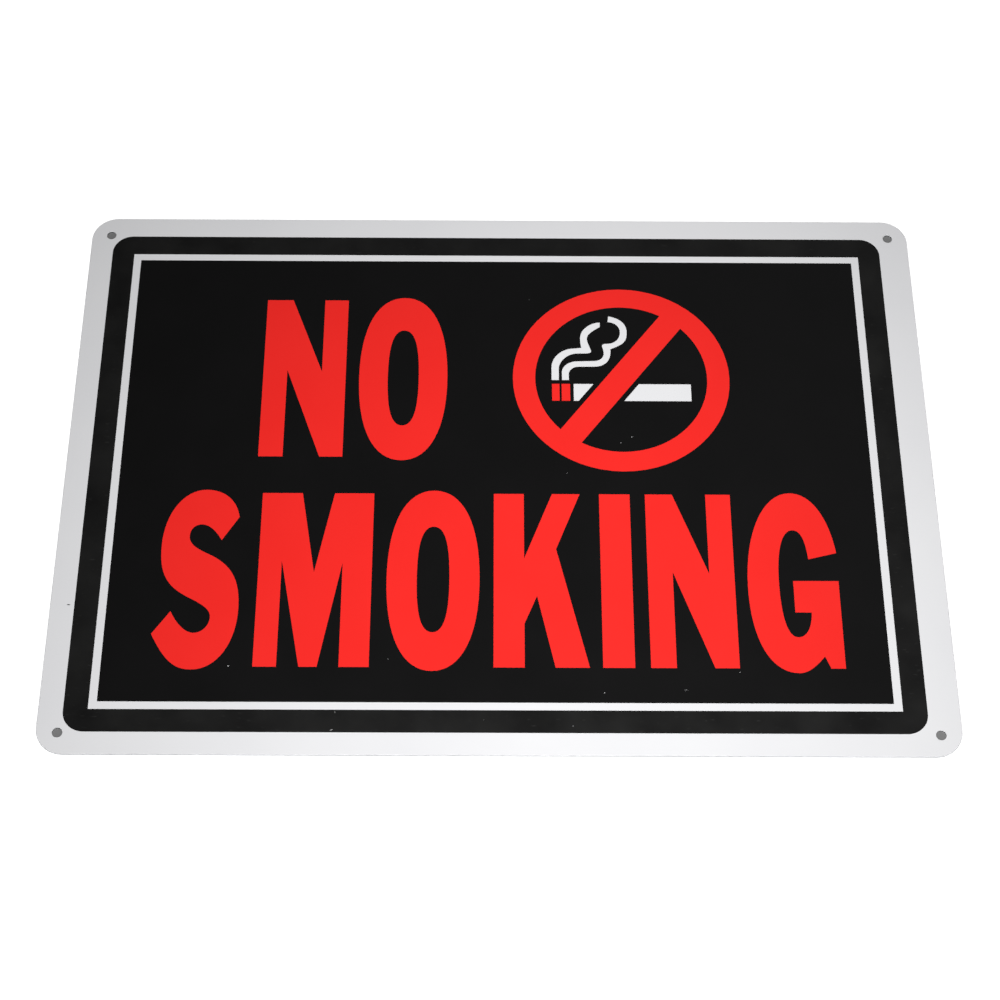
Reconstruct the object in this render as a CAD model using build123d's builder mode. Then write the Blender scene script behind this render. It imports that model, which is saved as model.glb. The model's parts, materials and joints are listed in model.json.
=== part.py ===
"""No smoking sign: one flat aluminium sheet, blanked with rounded corners and punched for four screws.

The sheet lies on its back with its printed face up, along +Z, and the top of its wording towards +Y.
The origin is the centre of the back face. Every size is in millimetres.
"""

import os

from build123d import *

# Blank: the common 14 by 10 inch sign sheet
sheet_width = 355.6
sheet_height = 254.0
sheet_thickness = 0.8
corner_radius = 11.0

# Fixing holes: a screw hole near each corner, with its centre this far in from the edges
hole_diameter = 4.0
hole_from_side = 8.3
hole_from_top = 9.0

# Marks of the press tool: the face rolls over where the tool enters, and the back edge is broken by deburring
edge_roll = 0.25
hole_roll = 0.15
back_break = 0.08

hole_spacing_x = sheet_width - 2 * hole_from_side
hole_spacing_y = sheet_height - 2 * hole_from_top


with BuildPart() as sign_sheet:
    # Flat blank, from the back face up to the printed face
    with BuildSketch(Plane.XY):
        RectangleRounded(sheet_width, sheet_height, corner_radius)
    extrude(amount=sheet_thickness)
    blank_faces = sign_sheet.faces().sort_by(Axis.Z)
    back_outline = blank_faces[0].outer_wire().edges()
    face_outline = blank_faces[-1].outer_wire().edges()
    fillet(face_outline, radius=edge_roll)
    chamfer(back_outline, length=back_break)

    # Screw holes, punched through from the printed face
    with GridLocations(hole_spacing_x, hole_spacing_y, 2, 2):
        Hole(radius=hole_diameter / 2)
    hole_rims = sign_sheet.faces().sort_by(Axis.Z)[-1].inner_wires()
    fillet([edge for rim in hole_rims for edge in rim.edges()], radius=hole_roll)

sign_sheet.part.label = "sign_sheet"

os.makedirs("parts", exist_ok=True)
export_step(sign_sheet.part, "parts/sign_sheet.step")
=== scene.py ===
"""No smoking sign: the finish and the print of a flat aluminium sheet.

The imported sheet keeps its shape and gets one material: white coil coat on its face, bare metal on its
cut edges and its back. The print lies on the coat as films of ink. The black ground is open wherever
the coat or the red shows, and the red words, ring and embers lie in its openings. Sizes are millimetres
from the middle of the sheet, X to the right along the words and Y to the top.
"""

import json
import math
import random

import bpy
from mathutils import Matrix, Quaternion, Vector


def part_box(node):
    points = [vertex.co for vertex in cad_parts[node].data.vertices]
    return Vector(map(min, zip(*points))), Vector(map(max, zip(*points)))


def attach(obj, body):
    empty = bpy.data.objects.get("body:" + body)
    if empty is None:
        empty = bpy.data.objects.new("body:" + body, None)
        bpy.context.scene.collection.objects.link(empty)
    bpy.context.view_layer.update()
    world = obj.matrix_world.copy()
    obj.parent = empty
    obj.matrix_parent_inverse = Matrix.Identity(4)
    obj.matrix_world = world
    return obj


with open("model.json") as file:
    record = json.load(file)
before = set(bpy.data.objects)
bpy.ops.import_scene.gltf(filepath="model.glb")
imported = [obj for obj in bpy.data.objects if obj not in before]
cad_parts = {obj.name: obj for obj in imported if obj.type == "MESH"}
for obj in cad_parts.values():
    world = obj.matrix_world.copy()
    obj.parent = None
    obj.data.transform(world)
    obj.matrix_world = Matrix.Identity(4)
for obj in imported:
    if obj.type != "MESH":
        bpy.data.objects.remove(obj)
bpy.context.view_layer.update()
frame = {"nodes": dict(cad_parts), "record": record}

MM = 0.001  # metres in a millimetre
WHITE = (1, 1, 1, 1)

# Sheet: how far down its rolled edge the coat reaches, how high above the back the cut edge starts, and
# how far each finish fades into the next
sheet = frame["nodes"]["sign_sheet"]
sheet_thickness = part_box("sign_sheet")[1].z / MM
coat_depth = 0.24
deburr_height = 0.08
finish_blend = 0.01

# Screw holes: centres, from the middle of the sheet
holes = next(mount["dims"] for mount in frame["record"]["mounts"] if mount["name"] == "fixing_holes")
hole_x = holes["spacing_x_mm"] / 2
hole_y = holes["spacing_y_mm"] / 2

# Ground: black, with a white line left open along its border
ink_thickness = 0.024
ground_centre = (-1.5, -0.1)
ground_width = 333.4
ground_height = 235.0
ground_corner_radius = 8.5
outer_band = 9.5
line_width = 3.2

# Words: letters by their left end and their baseline, all of one cap height
cap_height = 78.2
upper_baseline = 5.7
lower_baseline = -89.9
stem = 12.2
thin_stem = 10.05

# Ring: outer and inner radius, and the slash across it
ring_centre = (51.0, 44.7)
ring_radius = 45.55
ring_opening = 36.15
slash_width = 10.8
slash_angle = 53.0

# Cigarette, measured from the ring's centre
cigarette_half_length = 29.15
cigarette_top = -2.9
cigarette_bottom = -11.3
slash_margin = 2.2
ember_widths = (3.15, 3.55)
ember_gap = 0.9
paper_gap = 1.5
smoke_foot = -1.0

# Chips: pin-prick losses in the black ink, each as centre, length, width and slope in degrees
chips = (
    ((-105.8, -89.6), 0.75, 0.35, 0),
    ((-64.7, -116.6), 1.40, 0.20, 20),
    ((-63.5, -109.1), 0.30, 0.25, 0),
    ((-43.6, -86.4), 0.28, 0.16, 0),
    ((-6.1, -112.2), 0.26, 0.15, 50),
    ((28.1, -114.6), 0.38, 0.20, 0),
    ((40.6, -100.6), 0.40, 0.25, 0),
    ((72.2, -99.3), 1.60, 0.07, 4),
    ((93.6, -91.6), 0.40, 0.24, 80),
    ((50.1, 12.9), 0.28, 0.18, 30),
    ((54.7, 15.8), 0.42, 0.28, 0),
    ((27.5, -1.6), 0.24, 0.14, 0),
    ((12.5, 84.7), 0.38, 0.27, 0),
)

# Specks: stray black ink on the white border, given in the same way
specks = (
    ((-170.6, -63.1), 1.40, 0.34, 0),
)

# Chips and specks are both ragged spots
spot_corners = 7
spot_raggedness = 0.3
spot_seed = 7

ELLIPSE = 0.552  # how far the handles of a quarter ellipse reach towards its corner


# Outlines

def towards(heading):
    """One millimetre in a heading, which is in degrees from +X towards +Y."""
    angle = math.radians(heading)
    return Vector((math.cos(angle), math.sin(angle)))


def crossing(start, start_heading, end, end_heading):
    """Where the line that leaves the start meets the line through the end."""
    ahead = towards(start_heading)
    across = towards(end_heading)
    return start + ahead * ((end - start).cross(across) / ahead.cross(across))


class Pen:
    """Draws one closed outline from lines, arcs and rounds."""

    def __init__(self, x, y):
        self.place = Vector((x, y))
        self.heading = 0.0
        self.strokes = []

    def stroke(self, start_handle, end_handle, end):
        self.strokes.append((self.place, start_handle, end_handle, end))
        self.place = end

    def line(self, x, y):
        end = Vector((x, y))
        along = end - self.place
        self.heading = math.degrees(math.atan2(along.y, along.x))
        self.stroke(self.place, end, end)

    def turn(self, heading):
        self.heading = heading

    def round(self, x, y, heading, fullness=ELLIPSE):
        """Rounds the corner between its heading and the one it ends with. More fullness is squarer."""
        end = Vector((x, y))
        corner = crossing(self.place, self.heading, end, heading)
        self.stroke(self.place.lerp(corner, fullness), end.lerp(corner, fullness), end)
        self.heading = heading

    def arc(self, centre, radius, first_angle, last_angle):
        """Follows a circle in even pieces of a quarter turn or less."""
        pieces = math.ceil(abs(last_angle - first_angle) / 90)
        step = (last_angle - first_angle) / pieces
        reach = 4 / 3 * math.tan(math.radians(step / 4)) * radius
        for piece in range(pieces):
            first = first_angle + piece * step
            last = first + step
            end = Vector(centre) + towards(last) * radius
            self.stroke(self.place + towards(first + 90) * reach, end - towards(last + 90) * reach, end)


def polygon(*corners):
    pen = Pen(*corners[0])
    for corner in corners[1:] + corners[:1]:
        pen.line(*corner)
    return pen


def rectangle(left, bottom, right, top):
    return polygon((left, bottom), (right, bottom), (right, top), (left, top))


def oval(centre_x, centre_y, half_width, half_height, fullness):
    pen = Pen(centre_x + half_width, centre_y)
    pen.turn(90)
    pen.round(centre_x, centre_y + half_height, 180, fullness)
    pen.round(centre_x - half_width, centre_y, 270, fullness)
    pen.round(centre_x, centre_y - half_height, 0, fullness)
    pen.round(centre_x + half_width, centre_y, 90, fullness)
    return pen


def moved(outlines, x, y):
    """Shifts the outlines themselves, and gives them back."""
    shift = Vector((x, y))
    for pen in outlines:
        pen.strokes = [tuple(point + shift for point in stroke) for stroke in pen.strokes]
    return outlines


# Letters: plain narrow capitals, each from its left end and its baseline

def letter_n():
    width = 34.65
    return [polygon(
        (0, 0), (0, cap_height), (11.0, cap_height), (width - thin_stem, 41.7),
        (width - thin_stem, cap_height), (width, cap_height), (width, 0), (width - 9.55, 0),
        (thin_stem, 42.4), (thin_stem, 0),
    )]


def letter_o():
    width = 37.1
    middle = 39.0
    return [
        oval(width / 2, middle, width / 2, 40.6, 0.63),
        oval(width / 2, middle, 6.5, 23.75, 0.69),
    ]


def letter_m():
    width = 45.35
    left_leg = 9.25
    right_leg = 11.8
    return [polygon(
        (0, 0), (0, cap_height), (16.25, cap_height), (22.25, 41.75), (29.35, cap_height),
        (width, cap_height), (width, 0), (width - right_leg, 0), (width - right_leg, 46.0),
        (25.05, 0), (17.95, 0), (left_leg, 46.9), (left_leg, 0),
    )]


def letter_k():
    return [polygon(
        (0, 0), (0, cap_height), (stem, cap_height), (stem, 48.35), (23.65, cap_height),
        (34.95, cap_height), (25.05, 52.65), (37.65, 0), (24.25, 0), (17.25, 31.45),
        (stem, 19.15), (stem, 0),
    )]


def letter_i():
    return [rectangle(0, 0, 12.5, cap_height)]


def letter_s():
    pen = Pen(25.0, 56.2)
    pen.line(31.6, 66.9)
    pen.turn(100)
    pen.round(17.6, 79.6, 180, 0.62)
    pen.round(1.1, 53.4, 270, 0.57)
    pen.round(13.5, 30.2, 332, 0.75)
    pen.round(22.5, 21.6, 270, 0.75)
    pen.round(16.4, 14.6, 180)
    pen.round(6.8, 24.1, 116, 0.62)
    pen.line(-0.1, 14.1)
    pen.turn(297)
    pen.round(16.6, -1.3, 0, 0.76)
    pen.round(33.5, 25.4, 90, 0.58)
    pen.round(20.0, 49.9, 154, 0.72)
    pen.round(12.05, 58.1, 90, 0.74)
    pen.round(16.7, 63.4, 0, 0.60)
    pen.round(25.0, 56.2, 300, 0.66)
    return [pen]


def letter_g():
    pen = Pen(24.9, 48.4)
    pen.line(36.35, 51.3)
    pen.turn(97)
    pen.round(19.2, 79.0, 180, 0.62)
    pen.round(0, 36.0, 270, 0.57)
    pen.round(18.0, -2.0, 0, 0.62)
    pen.round(28.5, 5.2, 50, 0.72)
    pen.line(30.6, 0)
    pen.line(36.3, 0)
    pen.line(36.3, 38.6)
    pen.line(18.15, 38.6)
    pen.line(18.15, 24.5)
    pen.line(24.6, 24.5)
    pen.turn(268)
    pen.round(18.7, 13.6, 180, 0.60)
    pen.round(12.5, 38.0, 90, 0.66)
    pen.round(19.2, 61.7, 0, 0.62)
    pen.round(24.9, 48.4, 275, 0.72)
    return [pen]


letters = (
    ("upper_n", letter_n, -99.45, upper_baseline),
    ("upper_o", letter_o, -59.15, upper_baseline),
    ("lower_s", letter_s, -136.85, lower_baseline),
    ("lower_m", letter_m, -96.45, lower_baseline),
    ("lower_o", letter_o, -45.15, lower_baseline),
    ("lower_k", letter_k, -2.45, lower_baseline),
    ("lower_i", letter_i, 40.35, lower_baseline),
    ("lower_n", letter_n, 59.05, lower_baseline),
    ("lower_g", letter_g, 98.8, lower_baseline),
)


# Figure: the ring with its slash, and the cigarette behind it

def ring_rim():
    pen = Pen(ring_radius, 0)
    pen.arc((0, 0), ring_radius, 0, 360)
    return pen


def ring_window(turn):
    """The part of the ring's opening on one side of the slash."""
    chord_end = math.degrees(math.asin(slash_width / 2 / ring_opening))
    first_angle = slash_angle + turn + chord_end
    last_angle = slash_angle + turn + 180 - chord_end
    start = towards(first_angle) * ring_opening
    pen = Pen(*start)
    pen.arc((0, 0), ring_opening, first_angle, last_angle)
    pen.line(*start)
    return pen


def ring_and_slash():
    return moved([ring_rim(), ring_window(0), ring_window(180)], *ring_centre)


def embers():
    """The two red bands at the burning end."""
    left = -cigarette_half_length
    bands = []
    for width in ember_widths:
        bands.append(rectangle(left, cigarette_bottom, left + width, cigarette_top))
        left += width + ember_gap
    return moved(bands, *ring_centre)


def slash_side(height, side):
    """Where the black margin beside the slash ends, at a height above the ring's centre."""
    angle = math.radians(slash_angle)
    return height / math.tan(angle) + side * (slash_width / 2 + slash_margin) / math.sin(angle)


def paper():
    """The white paper, broken by the slash and its margin."""
    left = -cigarette_half_length + sum(ember_widths) + ember_gap + paper_gap
    short_end = polygon(
        (left, cigarette_bottom), (slash_side(cigarette_bottom, -1), cigarette_bottom),
        (slash_side(cigarette_top, -1), cigarette_top), (left, cigarette_top),
    )
    long_end = polygon(
        (slash_side(cigarette_bottom, 1), cigarette_bottom), (cigarette_half_length, cigarette_bottom),
        (cigarette_half_length, cigarette_top), (slash_side(cigarette_top, 1), cigarette_top),
    )
    return moved([short_end, long_end], *ring_centre)


def left_plume():
    pen = Pen(-29.25, smoke_foot)
    pen.line(-29.25, 5.1)
    pen.round(-19.5, 14.95, 0)
    pen.line(-16.5, 15.35)
    pen.turn(105)
    pen.round(-16.95, 20.0, 90)
    pen.round(-8.4, 28.35, 3)
    pen.line(-8.45, 26.0)
    pen.turn(212)
    pen.round(-14.1, 19.6, 270, 0.76)
    pen.round(-12.5, 14.2, 290)
    pen.round(-14.2, 12.5, 180, 0.60)
    pen.line(-18.6, 12.4)
    pen.round(-26.2, 4.6, 270, 0.50)
    pen.line(-26.2, smoke_foot)
    pen.line(-29.25, smoke_foot)
    return pen


def right_plume():
    pen = Pen(-24.9, smoke_foot)
    pen.line(-24.9, 2.8)
    pen.round(-18.3, 8.45, 0)
    pen.line(-11.2, 8.65)
    pen.round(-7.05, 12.6, 90, 0.60)
    pen.round(-7.75, 16.2, 106)
    pen.turn(78)
    pen.round(-5.9, 17.4, 0, 0.70)
    pen.round(0.05, 23.6, 90, 0.62)
    pen.round(-5.1, 28.55, 180)
    pen.line(-4.7, 31.5)
    pen.turn(350)
    pen.round(2.95, 23.5, 270, 0.63)
    pen.round(-4.2, 14.65, 204, 0.84)
    pen.turn(274)
    pen.round(-11.2, 5.8, 180, 0.62)
    pen.line(-18.1, 5.72)
    pen.round(-22.0, 2.1, 270, 0.50)
    pen.line(-22.0, smoke_foot)
    pen.line(-24.9, smoke_foot)
    return pen


def smoke():
    return moved([left_plume(), right_plume()], *ring_centre)


# Ground

def ground_rim():
    half_width = ground_width / 2
    half_height = ground_height / 2
    in_x = half_width - ground_corner_radius
    in_y = half_height - ground_corner_radius
    corners = ((in_x, in_y, 0), (-in_x, in_y, 90), (-in_x, -in_y, 180), (in_x, -in_y, 270))
    pen = Pen(half_width, -in_y)
    for corner_x, corner_y, first_angle in corners:
        centre = Vector((corner_x, corner_y))
        pen.line(*(centre + towards(first_angle) * ground_corner_radius))
        pen.arc(centre, ground_corner_radius, first_angle, first_angle + 90)
    return pen


def line_side(inset):
    half_width = ground_width / 2 - inset
    half_height = ground_height / 2 - inset
    return rectangle(-half_width, -half_height, half_width, half_height)


def ragged_spot(centre, length, width, slope, draw):
    """An ellipse whose few corners lie unevenly about it."""
    turn = Matrix.Rotation(math.radians(slope), 2)
    corners = []
    for corner in range(spot_corners):
        reach = draw.uniform(1 - spot_raggedness, 1 + spot_raggedness) / 2
        along = towards(360 * corner / spot_corners)
        corners.append(Vector(centre) + turn @ Vector((along.x * length, along.y * width)) * reach)
    return polygon(*corners)


def black_ground():
    """The ground's rim and its openings, with the chips as openings too, and the specks beside it."""
    draw = random.Random(spot_seed)
    border = [ground_rim(), line_side(outer_band), line_side(outer_band + line_width)]
    outlines = moved(border, *ground_centre)
    for name, draw_letter, left, baseline in letters:
        outlines += moved(draw_letter(), left, baseline)
    outlines += ring_and_slash() + embers() + paper() + smoke()
    for centre, length, width, slope in chips + specks:
        outlines.append(ragged_spot(centre, length, width, slope, draw))
    return outlines


# Materials

def linear(hex_colour):
    """An sRGB hex colour as linear red, green, blue and alpha."""
    channels = []
    for start in (1, 3, 5):
        value = int(hex_colour[start:start + 2], 16) / 255
        channels.append(value / 12.92 if value <= 0.04045 else ((value + 0.055) / 1.055) ** 2.4)
    return (*channels, 1)


def node(tree, kind, inputs=(), **settings):
    """Adds a node with its settings, and gives its inputs values or links.

    A Mix node's sockets go by number: 0 is its factor, 2 and 3 are numbers that mix to output 0, and
    6 and 7 are colours that mix to output 2.
    """
    added = tree.nodes.new(kind)
    for name, value in settings.items():
        setattr(added, name, value)
    for socket, value in dict(inputs).items():
        if isinstance(value, bpy.types.NodeSocket):
            tree.links.new(value, added.inputs[socket])
        else:
            added.inputs[socket].default_value = value
    return added


def new_material(name):
    material = bpy.data.materials.new(name)
    material.use_nodes = True
    material.node_tree.nodes.clear()
    return material, material.node_tree


def stoved_coat(tree, place, height):
    """Satin white with soft waves and a faint unevenness of its white, worn to an uneven grey where the
    edge rolls over. That grey is partly real wear and partly painted shade along the edge. Gives its
    colour, roughness and relief."""
    wave = 1.6
    cloud = 60.0
    wear_and_shade_patch = 3.0
    wear_and_shade_from = 0.003
    wear_and_shade_to = 0.06
    waves = node(tree, "ShaderNodeTexNoise", {
        "Vector": place, "Scale": 1 / (wave * MM), "Detail": 2.0,
    }).outputs["Fac"]
    clouds = node(tree, "ShaderNodeTexNoise", {
        "Vector": place, "Scale": 1 / (cloud * MM), "Detail": 4.0,
    }).outputs["Fac"]
    white = node(tree, "ShaderNodeMix", {
        0: clouds, 6: linear("#E8E8EB"), 7: linear("#F1F1F2"),
    }, data_type="RGBA").outputs[2]
    rolled = node(tree, "ShaderNodeMapRange", {
        "Value": height, "To Min": 1.0, "To Max": 0.0,
        "From Min": (sheet_thickness - wear_and_shade_to) * MM, "From Max": (sheet_thickness - wear_and_shade_from) * MM,
    }).outputs[0]
    patches = node(tree, "ShaderNodeTexNoise", {
        "Vector": place, "Scale": 1 / (wear_and_shade_patch * MM), "Detail": 4.0,
    }).outputs["Fac"]
    wear_and_shade = node(tree, "ShaderNodeMath", {0: rolled, 1: patches}, operation="MULTIPLY").outputs[0]
    # The grey on the rolled edge is partly wear and partly painted shade, which darkens the sheet's outline
    colour = node(tree, "ShaderNodeMix", {
        0: wear_and_shade, 6: white, 7: linear("#ACAEB2"),
    }, data_type="RGBA").outputs[2]
    roughness = node(tree, "ShaderNodeMapRange", {
        "Value": clouds, "To Min": 0.40, "To Max": 0.50,
    }).outputs[0]
    return colour, roughness, waves


def bare_metal(tree, place, height):
    """Straight mill lines along X on the back, and darker upright marks of the shear on the cut edge, whose
    grey is partly the dull shear and partly painted shade. Both are drawn coarser than they are, so that
    they show. Gives its colour, roughness and relief."""
    mill_line = (40.0, 0.25, 0.25)
    shear_mark = (0.12, 0.12, 1.44)
    edge = node(tree, "ShaderNodeMapRange", {
        "Value": height,
        "From Min": (deburr_height - finish_blend) * MM, "From Max": (deburr_height + finish_blend) * MM,
    }).outputs[0]
    along = node(tree, "ShaderNodeVectorMath", {
        0: place, 1: Vector(mill_line) * MM,
    }, operation="DIVIDE").outputs[0]
    lines = node(tree, "ShaderNodeTexNoise", {
        "Vector": along, "Scale": 1.0, "Detail": 3.0,
    }).outputs["Fac"]
    upright = node(tree, "ShaderNodeVectorMath", {
        0: place, 1: Vector(shear_mark) * MM,
    }, operation="DIVIDE").outputs[0]
    marks = node(tree, "ShaderNodeTexNoise", {
        "Vector": upright, "Scale": 1.0, "Detail": 3.0,
    }).outputs["Fac"]
    milled = node(tree, "ShaderNodeMix", {
        0: lines, 6: linear("#B9BBBD"), 7: linear("#D6D7D8"),
    }, data_type="RGBA").outputs[2]
    # Painted shade in part: the cut edge's grey is darker than the dull shear alone, to darken the outline
    sheared_and_shaded = node(tree, "ShaderNodeMix", {
        0: marks, 6: linear("#86888B"), 7: linear("#B2B4B7"),
    }, data_type="RGBA").outputs[2]
    colour = node(tree, "ShaderNodeMix", {
        0: edge, 6: milled, 7: sheared_and_shaded,
    }, data_type="RGBA").outputs[2]
    grain = node(tree, "ShaderNodeMix", {0: edge, 2: lines, 3: marks}).outputs[0]
    roughness = node(tree, "ShaderNodeMapRange", {
        "Value": grain, "To Min": 0.30, "To Max": 0.46,
    }).outputs[0]
    return colour, roughness, grain


def coil_coated_aluminium():
    """Aluminium sheet, coil coated before it was blanked. The face shows the smooth satin of stoved paint
    down over its rolled edge, and the cut edge and the back show bare metal."""
    relief_depth = 0.01
    coat_end = sheet_thickness - coat_depth
    material, tree = new_material("coil_coated_aluminium")
    place = node(tree, "ShaderNodeTexCoord").outputs["Object"]
    height = node(tree, "ShaderNodeSeparateXYZ", {0: place}).outputs["Z"]
    coat_colour, coat_roughness, coat_relief = stoved_coat(tree, place, height)
    metal_colour, metal_roughness, metal_relief = bare_metal(tree, place, height)
    coat = node(tree, "ShaderNodeMapRange", {
        "Value": height,
        "From Min": (coat_end - finish_blend) * MM, "From Max": (coat_end + finish_blend) * MM,
    }).outputs[0]
    bareness = node(tree, "ShaderNodeMath", {0: 1.0, 1: coat}, operation="SUBTRACT").outputs[0]
    colour = node(tree, "ShaderNodeMix", {
        0: coat, 6: metal_colour, 7: coat_colour,
    }, data_type="RGBA").outputs[2]
    roughness = node(tree, "ShaderNodeMix", {0: coat, 2: metal_roughness, 3: coat_roughness}).outputs[0]
    relief = node(tree, "ShaderNodeMix", {0: coat, 2: metal_relief, 3: coat_relief}).outputs[0]
    bump = node(tree, "ShaderNodeBump", {
        "Strength": 0.25, "Distance": relief_depth * MM, "Height": relief,
    }).outputs[0]
    surface = node(tree, "ShaderNodeBsdfPrincipled", {
        "Base Color": colour, "Metallic": bareness, "Roughness": roughness, "Normal": bump,
    })
    node(tree, "ShaderNodeOutputMaterial", {"Surface": surface.outputs[0]})
    return material


def border_wear(tree, place):
    """How far handling has rubbed the band outside the white line: a little all over, in soft patches,
    and to the full in short scuffs along X. Within the line the print is untouched."""
    rub_patch = 22.0
    scuff = (3.5, 0.9, 0.9)
    line_inset = outer_band + line_width / 2
    line_corner = Vector((ground_width / 2 - line_inset, ground_height / 2 - line_inset, 0))
    from_middle = node(tree, "ShaderNodeVectorMath", {
        0: place, 1: Vector(ground_centre).to_3d() * MM,
    }, operation="SUBTRACT").outputs[0]
    quarter = node(tree, "ShaderNodeVectorMath", {0: from_middle}, operation="ABSOLUTE").outputs[0]
    beyond = node(tree, "ShaderNodeVectorMath", {
        0: quarter, 1: line_corner * MM,
    }, operation="SUBTRACT").outputs[0]
    sides = node(tree, "ShaderNodeSeparateXYZ", {0: beyond}).outputs
    furthest = node(tree, "ShaderNodeMath", {
        0: sides["X"], 1: sides["Y"],
    }, operation="MAXIMUM").outputs[0]
    in_band = node(tree, "ShaderNodeMath", {0: furthest, 1: 0.0}, operation="GREATER_THAN").outputs[0]
    patches = node(tree, "ShaderNodeTexNoise", {
        "Vector": place, "Scale": 1 / (rub_patch * MM), "Detail": 4.0,
    }).outputs["Fac"]
    rubbed = node(tree, "ShaderNodeMapRange", {
        "Value": patches, "From Min": 0.3, "From Max": 0.7, "To Min": 0.1, "To Max": 0.6,
    }).outputs[0]
    along = node(tree, "ShaderNodeVectorMath", {
        0: place, 1: Vector(scuff) * MM,
    }, operation="DIVIDE").outputs[0]
    streaks = node(tree, "ShaderNodeTexNoise", {
        "Vector": along, "Scale": 1.0, "Detail": 2.0,
    }).outputs["Fac"]
    scuffed = node(tree, "ShaderNodeMapRange", {
        "Value": streaks, "From Min": 0.62, "From Max": 0.75,
    }).outputs[0]
    wear = node(tree, "ShaderNodeMath", {0: rubbed, 1: scuffed}, operation="MAXIMUM").outputs[0]
    return node(tree, "ShaderNodeMath", {0: wear, 1: in_band}, operation="MULTIPLY").outputs[0]


def screen_ink(name, low_colour, high_colour, worn_colour=None):
    """Solvent ink, pulled through a screen and dried. The mesh's mark flows out first, which leaves an even
    satin film with a faint orange peel, and a density that drifts a little over the print. An ink that
    reaches the border also has the colour that it wears to."""
    orange_peel = 0.5
    peel_depth = 0.006
    density_patch = 35.0
    worn_roughness = 0.45
    material, tree = new_material(name)
    place = node(tree, "ShaderNodeTexCoord").outputs["Object"]
    density = node(tree, "ShaderNodeTexNoise", {
        "Vector": place, "Scale": 1 / (density_patch * MM), "Detail": 5.0,
    }).outputs["Fac"]
    texture = node(tree, "ShaderNodeTexNoise", {
        "Vector": place, "Scale": 1 / (orange_peel * MM), "Detail": 2.0,
    }).outputs["Fac"]
    colour = node(tree, "ShaderNodeMix", {
        0: density, 6: linear(low_colour), 7: linear(high_colour),
    }, data_type="RGBA").outputs[2]
    roughness = node(tree, "ShaderNodeMapRange", {
        "Value": density, "To Min": 0.28, "To Max": 0.36,
    }).outputs[0]
    if worn_colour:
        wear = border_wear(tree, place)
        colour = node(tree, "ShaderNodeMix", {
            0: wear, 6: colour, 7: linear(worn_colour),
        }, data_type="RGBA").outputs[2]
        roughness = node(tree, "ShaderNodeMix", {0: wear, 2: roughness, 3: worn_roughness}).outputs[0]
    bump = node(tree, "ShaderNodeBump", {
        "Strength": 0.2, "Distance": peel_depth * MM, "Height": texture,
    }).outputs[0]
    surface = node(tree, "ShaderNodeBsdfPrincipled", {
        "Base Color": colour, "Roughness": roughness, "Normal": bump,
    })
    node(tree, "ShaderNodeOutputMaterial", {"Surface": surface.outputs[0]})
    return material


# Pieces

def select_only(piece):
    bpy.ops.object.select_all(action="DESELECT")
    piece.select_set(True)
    bpy.context.view_layer.objects.active = piece


def ink_film(name, outlines, material):
    """Fills outlines as a flat curve, makes it a mesh on the coat, and gives it the ink's thickness."""
    curve_steps = 16
    same_point = 0.001
    curve = bpy.data.curves.new(name, "CURVE")
    curve.dimensions = "2D"
    curve.fill_mode = "BOTH"
    curve.resolution_u = curve_steps
    for pen in outlines:
        spline = curve.splines.new("BEZIER")
        spline.bezier_points.add(len(pen.strokes) - 1)
        earlier_strokes = pen.strokes[-1:] + pen.strokes[:-1]
        for point, arriving, leaving in zip(spline.bezier_points, earlier_strokes, pen.strokes):
            point.co = leaving[0].to_3d()
            point.handle_left = arriving[2].to_3d()
            point.handle_right = leaving[1].to_3d()
            point.handle_left_type = "VECTOR" if arriving[2] == arriving[3] else "FREE"
            point.handle_right_type = "VECTOR" if leaving[0] == leaving[1] else "FREE"
        spline.use_cyclic_u = True
    film = bpy.data.objects.new(name, curve)
    bpy.context.collection.objects.link(film)
    film.scale = (MM, MM, MM)
    film.location.z = sheet_thickness * MM
    select_only(film)
    bpy.ops.object.convert(target="MESH")
    bpy.ops.object.transform_apply(location=True, rotation=True, scale=True)
    bpy.ops.object.mode_set(mode="EDIT")
    bpy.ops.mesh.select_all(action="SELECT")
    bpy.ops.mesh.remove_doubles(threshold=same_point * MM)
    bpy.ops.mesh.beautify_fill()
    bpy.ops.object.mode_set(mode="OBJECT")
    solidify = film.modifiers.new("thickness", "SOLIDIFY")
    solidify.thickness = ink_thickness * MM
    solidify.offset = 1
    bpy.ops.object.modifier_apply(modifier=solidify.name)
    film.data.materials.clear()
    film.data.materials.append(material)
    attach(film, "root")


def coat_the_sheet():
    sheet.material_slots[0].material = coil_coated_aluminium()


def print_the_face():
    black = screen_ink("black_screen_ink", "#080808", "#0C0B0C", worn_colour="#212120")
    red = screen_ink("red_screen_ink", "#F82823", "#FD2D28")
    ink_film("black_ground", black_ground(), black)
    for name, draw_letter, left, baseline in letters:
        ink_film(f"letter_{name}", moved(draw_letter(), left, baseline), red)
    ink_film("ring_and_slash", ring_and_slash(), red)
    ink_film("embers", embers(), red)


# Stage, light and camera

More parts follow.
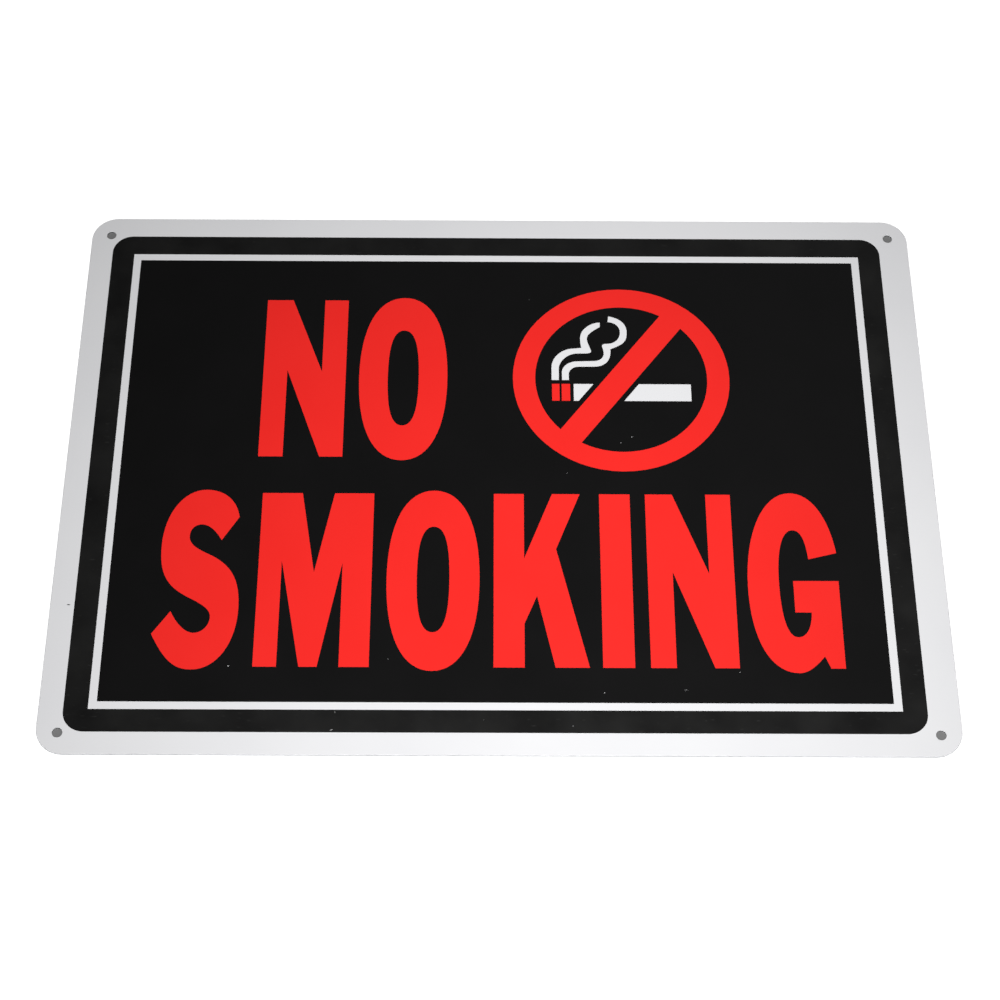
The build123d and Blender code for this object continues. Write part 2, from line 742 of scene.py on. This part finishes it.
def floor_material():
    """A pale matt floor that a camera sees as white, with the sheet's shadow kept. It glows by as much
    as the lamp's light falls short of white. Under the screw holes it is painted grey, a painted shadow."""
    lit_spot = (50, -60, 0)
    unlit_distance = 420
    painted_shadow_radius = 5
    material, tree = new_material("matt_floor")
    place = node(tree, "ShaderNodeTexCoord").outputs["Object"]
    quarter = node(tree, "ShaderNodeVectorMath", {0: place}, operation="ABSOLUTE").outputs[0]
    to_hole = node(tree, "ShaderNodeVectorMath", {
        0: quarter, 1: Vector((hole_x, hole_y, 0)) * MM,
    }, operation="DISTANCE").outputs["Value"]
    outside_painted_shadow = node(tree, "ShaderNodeMath", {
        0: to_hole, 1: painted_shadow_radius * MM,
    }, operation="GREATER_THAN").outputs[0]
    to_lit_spot = node(tree, "ShaderNodeVectorMath", {
        0: place, 1: Vector(lit_spot) * MM,
    }, operation="DISTANCE").outputs["Value"]
    glow = node(tree, "ShaderNodeMapRange", {
        "Value": to_lit_spot, "From Max": unlit_distance * MM, "To Min": 0.10, "To Max": 1.0,
    }).outputs[0]
    rays = node(tree, "ShaderNodeLightPath").outputs
    seen = rays["Is Camera Ray"]
    for ray in ("Is Glossy Ray", "Is Transmission Ray"):
        seen = node(tree, "ShaderNodeMath", {0: seen, 1: rays[ray]}, operation="MAXIMUM").outputs[0]
    seen_outside_painted_shadow = node(tree, "ShaderNodeMath", {0: seen, 1: outside_painted_shadow}, operation="MULTIPLY").outputs[0]
    strength = node(tree, "ShaderNodeMath", {0: glow, 1: seen_outside_painted_shadow}, operation="MULTIPLY").outputs[0]
    # Painted shadow: a plain grey on the floor under each screw hole, with no glow there
    colour = node(tree, "ShaderNodeMix", {
        0: outside_painted_shadow, 6: linear("#808080"), 7: linear("#E6E6E6"),
    }, data_type="RGBA").outputs[2]
    surface = node(tree, "ShaderNodeBsdfPrincipled", {
        "Base Color": colour, "Roughness": 0.9, "Specular IOR Level": 0.2,
        "Emission Color": WHITE, "Emission Strength": strength,
    })
    node(tree, "ShaderNodeOutputMaterial", {"Surface": surface.outputs[0]})
    return material


def lay_floor():
    """A floor that ends far out of sight, a hair under the sheet."""
    floor_width = 24000
    gap = 0.02
    bpy.ops.object.select_all(action="DESELECT")
    bpy.ops.mesh.primitive_plane_add(size=floor_width * MM, location=(0, 0, -gap * MM))
    floor = bpy.context.active_object
    floor.name = "floor"
    floor.data.materials.append(floor_material())


def hang_lamp():
    """One soft lamp close over the sheet's front, so that the coat fades towards its back corners."""
    place = Vector((6, -424, 631)) * MM
    aim = Vector((50, 60, 0)) * MM
    bpy.ops.object.light_add(type="AREA", location=place)
    lamp = bpy.context.active_object
    lamp.name = "soft_lamp"
    lamp.rotation_mode = "QUATERNION"
    lamp.rotation_quaternion = (aim - place).to_track_quat("-Z", "Y")
    lamp.data.shape = "SQUARE"
    lamp.data.size = 120 * MM
    lamp.data.spread = math.radians(91.7)
    lamp.data.energy = 1.68
    lamp.visible_camera = False


def build_room():
    """A room by the direction in which a ray leaves: white low down, and dim overhead, darker to the
    left than to the right. A camera sees its walls as white all the way up."""
    white_up_to = 0.03
    dim_from = 0.20
    side_reach = 0.25
    left_grey = 0.02
    right_grey = 0.13
    world = bpy.data.worlds.new("room")
    bpy.context.scene.world = world
    world.use_nodes = True
    tree = world.node_tree
    tree.nodes.clear()
    direction = node(tree, "ShaderNodeTexCoord").outputs["Generated"]
    along = node(tree, "ShaderNodeSeparateXYZ", {0: direction}).outputs
    dim = node(tree, "ShaderNodeMapRange", {
        "Value": along["X"], "From Min": -side_reach, "From Max": side_reach,
        "To Min": left_grey, "To Max": right_grey,
    }).outputs[0]
    lit = node(tree, "ShaderNodeMapRange", {
        "Value": along["Z"], "From Min": white_up_to, "From Max": dim_from,
        "To Min": 1.0, "To Max": dim,
    }, interpolation_type="SMOOTHSTEP").outputs[0]
    seen = node(tree, "ShaderNodeLightPath").outputs["Is Camera Ray"]
    colour = node(tree, "ShaderNodeMix", {0: seen, 6: lit, 7: WHITE}, data_type="RGBA").outputs[2]
    background = node(tree, "ShaderNodeBackground", {"Color": colour, "Strength": 1.0})
    node(tree, "ShaderNodeOutputWorld", {"Surface": background.outputs[0]})


def place_camera():
    """Looks down on the sheet from in front of its lower edge, held a little out of level."""
    target = Vector((0.07, -14.1, 0)) * MM
    distance = 892.4 * MM
    elevation = math.radians(60.07)
    azimuth = math.radians(0.71)
    roll = math.radians(0.84)
    away = Vector((
        -math.sin(azimuth) * math.cos(elevation),
        -math.cos(azimuth) * math.cos(elevation),
        math.sin(elevation),
    ))
    bpy.ops.object.camera_add(location=target + away * distance)
    camera = bpy.context.active_object
    camera.rotation_mode = "QUATERNION"
    camera.rotation_quaternion = (-away).to_track_quat("-Z", "Y") @ Quaternion((0, 0, 1), roll)
    camera.data.sensor_width = 36
    camera.data.lens = 78.88
    bpy.context.scene.camera = camera


coat_the_sheet()
print_the_face()
lay_floor()
hang_lamp()
build_room()
place_camera()
bpy.context.scene.view_settings.view_transform = "Standard"
